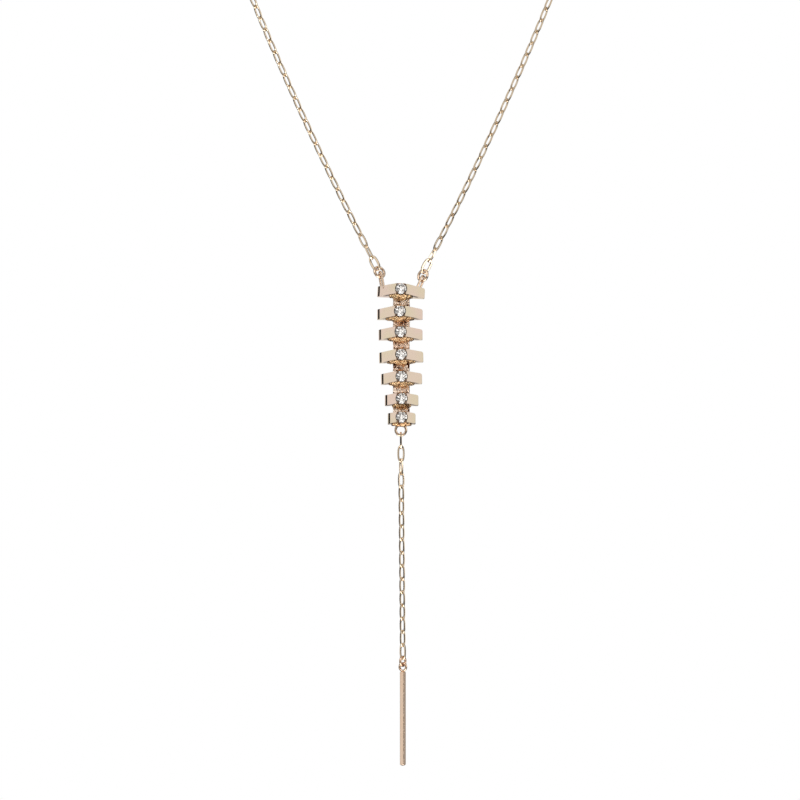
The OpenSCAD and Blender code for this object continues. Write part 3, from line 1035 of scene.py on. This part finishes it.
def neck(rise, t):
    """The path from t = 0 at the jump ring, by t = 1 at the leg's top, to t = 2 at the back."""
    if t < 1:
        return leg(rise + t * (LEG_TOP - rise))
    u = t - 1
    start = leg(LEG_TOP)
    way = Vector((LEG_SLOPE - 2 * LEG_BOW * LEG_TOP, LEAN_SLOPE + 2 * LEAN_BOW * LEG_TOP, 1))
    way.normalize()
    return ((1 - u) ** 3 * start + 3 * (1 - u) ** 2 * u * (start + SIDE_PULL * way)
            + 3 * (1 - u) * u * u * (BACK_END + Vector((BACK_PULL, 0, 0))) + u ** 3 * BACK_END)


def travel_of(rise):
    """How far along the path each of its steps is."""
    trail = [neck(rise, 2 * i / PATH_STEPS) for i in range(PATH_STEPS + 1)]
    travel = [0.0]
    for a, b in zip(trail, trail[1:]):
        travel.append(travel[-1] + (b - a).length)
    return travel


def path_point(rise, travel, distance):
    """The point of the path that lies this far along it."""
    i = max(1, next((k for k, s in enumerate(travel) if s >= distance), PATH_STEPS))
    share = (distance - travel[i - 1]) / (travel[i] - travel[i - 1])
    return neck(rise, 2 * (i - 1 + share) / PATH_STEPS)


travels = [travel_of(rise) for rise in START_RISES]
neck_lengths = [travel[-1] - CLASP_REACH for travel in travels]
neck_links = round(neck_lengths[LEFT] / LINK_PITCH)
neck_pitches = [length / neck_links for length in neck_lengths]
neck_points = [[path_point(rise, travel, k * pitch) for k in range(neck_links + 1)]
               for rise, travel, pitch in zip(START_RISES, travels, neck_pitches)]
print("each side of the loop:", [round(length, 1) for length in neck_lengths], "mm,", neck_links, "links")

# %% [markdown]
# ## One link
#
# A cable link is an oval of wire that is filed a little flat, and those flats flash light or dark as
# the chain turns. A curve circle is drawn out to the oval, a small profile with eight sides runs
# along it, and the result becomes a mesh with few faces, because it is copied often.

# %% Model the link
DROP_LINKS, DROP_LENGTH = 17, 44.8
drop_pitch = DROP_LENGTH / DROP_LINKS
STEPS_IN_MM = 50
LINK_INNER = math.ceil((max(*neck_pitches, drop_pitch) + LINK_PLAY) * STEPS_IN_MM) / STEPS_IN_MM
LINK_HALF_LONG = (LINK_INNER + LINK_WIRE) / 2
LINK_HALF_WIDE = 0.57
END_PULL, SIDE_SWELL = 0.76, 0.55
LINK_ROUND, LINK_FACES = 6, 32
FLAT, FILED = 0.172, 0.09
PROFILE = [(FILED, FLAT), (FLAT, FILED), (FLAT, -FILED), (FILED, -FLAT),
           (-FILED, -FLAT), (-FLAT, -FILED), (-FLAT, FILED), (-FILED, FLAT)]


def wire_profile():
    data = bpy.data.curves.new("wire_profile", "CURVE")
    data.dimensions = "2D"
    spline = data.splines.new("POLY")
    spline.points.add(len(PROFILE) - 1)
    for point, (x, y) in zip(spline.points, PROFILE):
        point.co = (x, y, 0, 1)
    spline.use_cyclic_u = True
    return placed("wire_profile", data)


def make_link():
    profile = wire_profile()
    bpy.ops.curve.primitive_bezier_circle_add(radius=1)
    link = made("link")
    link.data.resolution_u = LINK_ROUND
    for point in link.data.splines[0].bezier_points:
        point.handle_left_type = point.handle_right_type = "FREE"
        corner = Vector((point.co.x * LINK_HALF_WIDE, point.co.y * LINK_HALF_LONG, 0))
        reach = Vector((END_PULL * LINK_HALF_WIDE, 0, 0))
        if abs(point.co.x) > 0.5:
            reach = Vector((0, SIDE_SWELL * LINK_HALF_LONG, 0))
        if (point.handle_right - point.co).dot(reach) <= 0:
            reach = -reach
        point.co = corner
        point.handle_right = corner + reach
        point.handle_left = corner - reach
    link.data.bevel_mode = "OBJECT"
    link.data.bevel_object = profile
    bpy.ops.object.convert(target="MESH")
    link = bpy.context.object
    bpy.data.objects.remove(profile)
    link.data.transform(UPRIGHT)
    outward(link)
    smooth(link, LINK_FACES)
    return link


link_model = make_link()
print("link:", [round(v, 3) for v in link_model.dimensions], "faces", len(link_model.data.polygons))

# %% [markdown]
# ## Hanging the chains
#
# A link stands upright in its own frame. To place it, that frame is turned so that its height
# follows the run of the chain and its width is rolled about the run. The links next to a ring or
# the clasp take their own rolls, in degrees, so that each passes cleanly through its neighbour. The
# first link of a chain is also a little wider, to go round the thicker wire of its ring.

# %% Place the links
LEG_ROLLS = [28, -64, 36]
LEFT_END_ROLLS = [55, -22, 80]
RIGHT_END_ROLLS = [35, -68, 10]
DROP_ROLLS, DROP_END_ROLLS = [88, -14, 66, -34], [36]
CROSSED = 45
NECK_WIDER, DROP_WIDER = 1.32, 1.2


def turned(up, roll):
    """The direction across a run, rolled about it by so many degrees."""
    side = up.cross(Vector((0, 1, 0))).normalized()
    return side * cosine(roll) + up.cross(side) * math.sin(math.radians(roll))


def stand(point, run, roll):
    """A frame at a point, upright along the run and rolled about it."""
    up = run.normalized()
    across = turned(up, roll)
    return Matrix.Translation(point) @ Matrix((across, up.cross(across), up)).transposed().to_4x4()


def rolls_of(first, last, count):
    """The first and last links have rolls of their own, and those between are evenly crossed."""
    middle = range(len(first), count - len(last))
    return [*first, *(-CROSSED if k % 2 else CROSSED for k in middle), *last]


def lay_chain(name, points, rolls, node, first_wider):
    """One link between each point and the next, joined to a piece that stands for the node."""
    links = []
    for a, b, roll in zip(points, points[1:], rolls):
        link = copy_of(link_model, "link_copy")
        if not links:
            link.data.transform(Matrix.Diagonal((first_wider, 1, 1, 1)))
        settle(link, BASE @ stand((a + b) / 2, b - a, roll))
        links.append(link)
    dress(joined(links, name), pale_gold, node)


right_rolls = rolls_of(LEG_ROLLS, RIGHT_END_ROLLS, neck_links)
left_rolls = [-roll for roll in rolls_of(LEG_ROLLS, LEFT_END_ROLLS, neck_links)]
mirrored = [Vector((-p.x, p.y, p.z)) for p in neck_points[LEFT]]
lay_chain("links_left", mirrored, left_rolls, "chain_left", NECK_WIDER)
lay_chain("links_right", neck_points[RIGHT], right_rolls, "chain_right", NECK_WIDER)

# %% The drop chain
FOOT_EYE = Vector((-0.1, -8.76, -31.2))
FOOT_EYE_MIDDLE, FOOT_EYE_WIRE = 1.03, 0.22
DROP_LEAN = 0.40
drop_hold = (LINK_INNER - drop_pitch + LINK_WIRE) / 2
drop_start = -FOOT_EYE_MIDDLE + FOOT_EYE_WIRE + LINK_WIRE / 2 + LINK_PLAY - drop_hold
drop_top = FOOT_EYE + Vector((0, 0, drop_start))
drop_points = [drop_top + Vector((DROP_LEAN * k / DROP_LINKS, 0, -k * drop_pitch))
               for k in range(DROP_LINKS + 1)]
drop_rolls = rolls_of(DROP_ROLLS, DROP_END_ROLLS, DROP_LINKS)
lay_chain("links_drop", drop_points, drop_rolls, "drop_chain", DROP_WIDER)

# %% [markdown]
# ## Wire eyes and rings
#
# Two upright wire eyes on the first rib hang in the jump rings, and a round eye under the last rib
# carries the drop chain. An upright eye is half a torus whose two open ends are drawn down into the
# bar. The round one and the rings are whole tori. The photograph shows the wires a little fuller
# than the solids have them. The swells below are added to the solids' radii, and the jump rings are
# lifted and turned a little to stay clear.

# %% Bend the eyes and the rings
RING_WIRE, RING_OUTER, RING_ROLL = 0.225, 2.6, -36
RING_MIDDLE = RING_OUTER / 2 - RING_WIRE
RING_WIRE_SWELL, RING_SWELL, RING_LIFT, RING_TURN = 0.05, 0.02, 0.09, -40
RING_WAYS = [Vector((0.48, 0.20, 0.876)).normalized(), Vector((0.23, 0.17, 0.96)).normalized()]
EYE_MIDDLE, EYE_WIRE, EYE_REACH = 0.61, 0.23, 1.12
EYE_ROLLS = [66, 60]
EYE_FEET = [Vector((3.68, -0.88, -3.03)), Vector((3.17, -1.03, -3.33))]
FOOT_EYE_SWELL = 0.03
BAR_RING, BAR_RING_TURN = Vector((0.3, -8.76, -77.395)), 56
BAR_RING_MIDDLE, BAR_RING_WIRE = 0.90, 0.24


def wire_ring(name, middle, wire):
    """A ring that stands upright. middle is the radius to the middle of the wire."""
    bpy.ops.mesh.primitive_torus_add(major_segments=64, minor_segments=20,
                                     major_radius=middle, minor_radius=wire)
    ring = made(name)
    ring.data.transform(UPRIGHT)
    smooth(ring, ROUND_FACES)
    return ring


def ring_centre(side):
    """Where a jump ring's centre is in the solids, seen from its chain's first link."""
    start_run = (neck_points[side][1] - neck_points[side][0]).normalized()
    hold = (LINK_INNER - neck_pitches[side] + LINK_WIRE) / 2
    return (neck_points[side][0] + (LINK_WIRE / 2 + RING_WIRE + LINK_PLAY - hold) * start_run
            - RING_MIDDLE * RING_WAYS[side])


def eye_stance(side):
    """The head, the run and the leg of an upright eye, through which its jump ring passes."""
    way, foot, centre = RING_WAYS[side], EYE_FEET[side], ring_centre(side)
    through = way.cross(turned(way, RING_ROLL))
    rise = (centre - foot).normalized()
    crossing = centre - RING_MIDDLE * (rise - rise.dot(through) * through).normalized()
    run = (crossing - foot).normalized()
    return crossing + EYE_REACH * run, run, (crossing - foot).length + EYE_REACH - EYE_MIDDLE


def upright_eye(name, leg_long):
    eye = wire_ring(name, EYE_MIDDLE, EYE_WIRE)
    cut(eye, (0, 0, 0), (0, 0, -1), fill=False)
    enter(eye)
    bpy.ops.mesh.select_mode(type="EDGE")
    bpy.ops.mesh.select_non_manifold()
    bpy.ops.mesh.extrude_edges_move(TRANSFORM_OT_translate={"value": (0, 0, -leg_long)})
    leave()
    for side in (-1, 1):
        enter(eye)
        pick(eye, "VERT", lambda point: point.z < CLEAR_OF - leg_long and point.x * side > 0)
        bpy.ops.mesh.edge_face_add()
        leave()
    outward(eye)
    eye.data.transform(Matrix.Translation((0, 0, -EYE_MIDDLE)))
    smooth(eye, ROUND_FACES)
    return eye


def hang(piece, place, finish=wire_gold, node="rib_pendant"):
    settle(piece, BASE @ place)
    dress(piece, finish, node=node)


def on_side(sign, point, run, roll):
    """A frame on one side. The layout is written for the right, and the left is its mirror image."""
    flip = Vector((sign, 1, 1))
    return stand(flip * point, flip * run, sign * roll)


for side, sign, word in ((LEFT, -1, "left"), (RIGHT, 1, "right")):
    head, run, leg_long = eye_stance(side)
    eye = upright_eye(f"eye_{word}", leg_long)
    hang(eye, on_side(sign, head, run, EYE_ROLLS[side]))
    centre = ring_centre(side) + RING_LIFT * RING_WAYS[side]
    ring = wire_ring(f"ring_{word}", RING_MIDDLE + RING_SWELL, RING_WIRE + RING_WIRE_SWELL)
    hang(ring, on_side(sign, centre, RING_WAYS[side], RING_TURN), node=f"jump_ring_{word}")

foot = wire_ring("eye_foot", FOOT_EYE_MIDDLE + FOOT_EYE_SWELL / 3, FOOT_EYE_WIRE + FOOT_EYE_SWELL)
hang(foot, Matrix.Translation(FOOT_EYE))
knot = wire_ring("ring_bar", BAR_RING_MIDDLE, BAR_RING_WIRE)
hang(knot, Matrix.Translation(BAR_RING) @ Matrix.Rotation(math.radians(BAR_RING_TURN), 4, "Z"),
     deep_rose, "bar_ring")

# %% [markdown]
# ## Solids that stay
#
# The bar, the clasp and the end ring are smooth round or square pieces, and their solids are
# already right. They only get their metals.

# %% Finish the kept solids
KEPT = {"bar_drop": bar_gold, "clasp": pale_gold, "end_ring": pale_gold}
for node, material in KEPT.items():
    coat(nodes[node], material)
    print(node, "gets", material.name)

# %% Clear away the models and cutters
for model in (open_cutter, prong_cutter, prong_set, stone_model, link_model):
    bpy.data.objects.remove(model)
